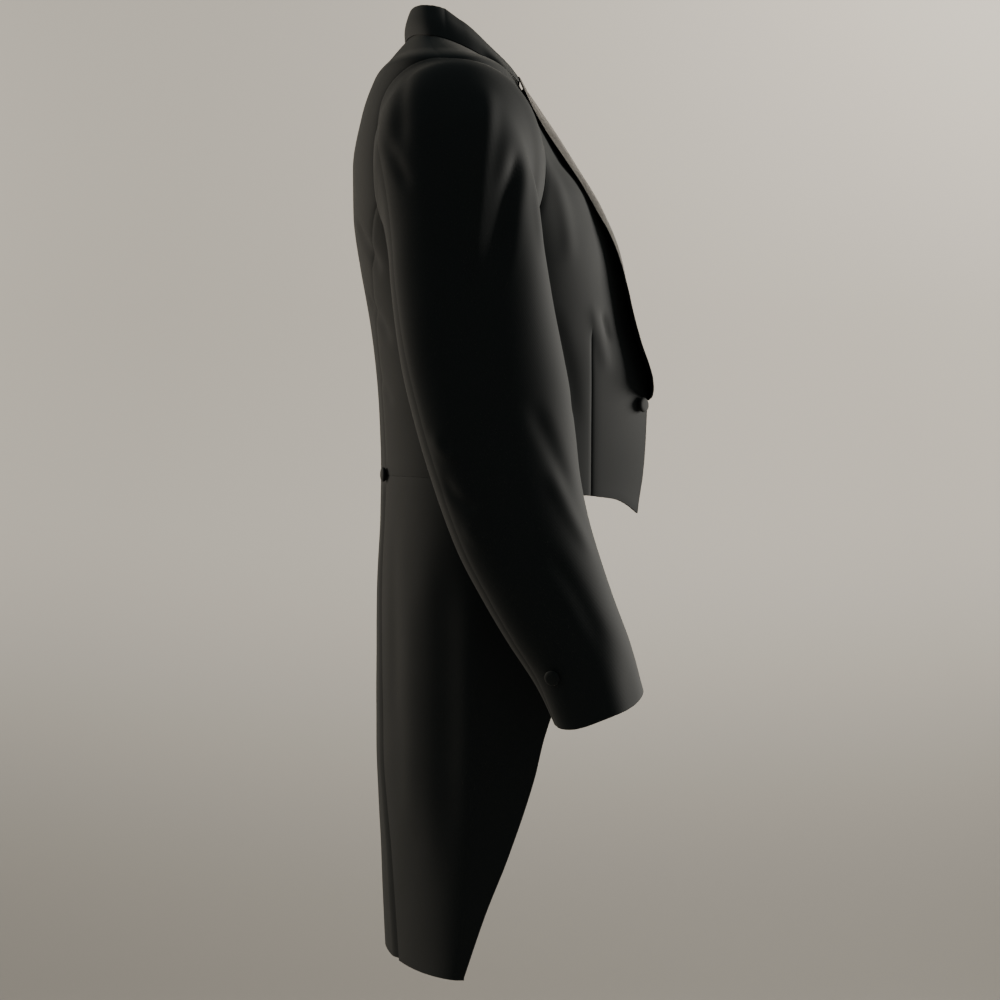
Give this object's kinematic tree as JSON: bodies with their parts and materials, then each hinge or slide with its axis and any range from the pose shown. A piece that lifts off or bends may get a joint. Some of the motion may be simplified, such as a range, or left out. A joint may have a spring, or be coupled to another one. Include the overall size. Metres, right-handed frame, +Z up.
{
  "type": "white tie tailcoat",
  "caption": "Men's black evening tailcoat in its worn, hollow form: short open fronts, satin peak lapels, covered buttons, and knee-length tails behind.",
  "frame": {"origin": "on the garment's middle plane, level with the points where the wearer's neck meets the shoulders: where the wearer's shoulders and neck hold the coat up", "axes": "+X to the wearer's front, +Y to the wearer's left, +Z up"},
  "size_m": [0.3152, 0.577, 1.0196],
  "materials": {
    "wool": "fine black worsted wool, matt with a faint nap",
    "satin": "black silk satin lapel facing, soft sheen",
    "covered_button": "button covered in fine black ribbed silk"
  },
  "bodies": {
    "root": {"forepart_R": "wool", "forepart_L": "wool", "side_body_R": "wool", "side_body_L": "wool", "back_R": "wool", "back_L": "wool", "skirt_R": "wool", "skirt_L": "wool", "top_sleeve_R": "wool", "top_sleeve_L": "wool", "under_sleeve_R": "wool", "under_sleeve_L": "wool", "collar_leaf": "wool", "collar_stand": "wool", "lapel_R": "satin", "lapel_L": "satin", "front_button_R": "covered_button", "front_button_L": "covered_button", "waist_button_R": "covered_button", "waist_button_L": "covered_button", "cuff_button_R": "covered_button", "cuff_button_L": "covered_button"}
  },
  "joints": []
}
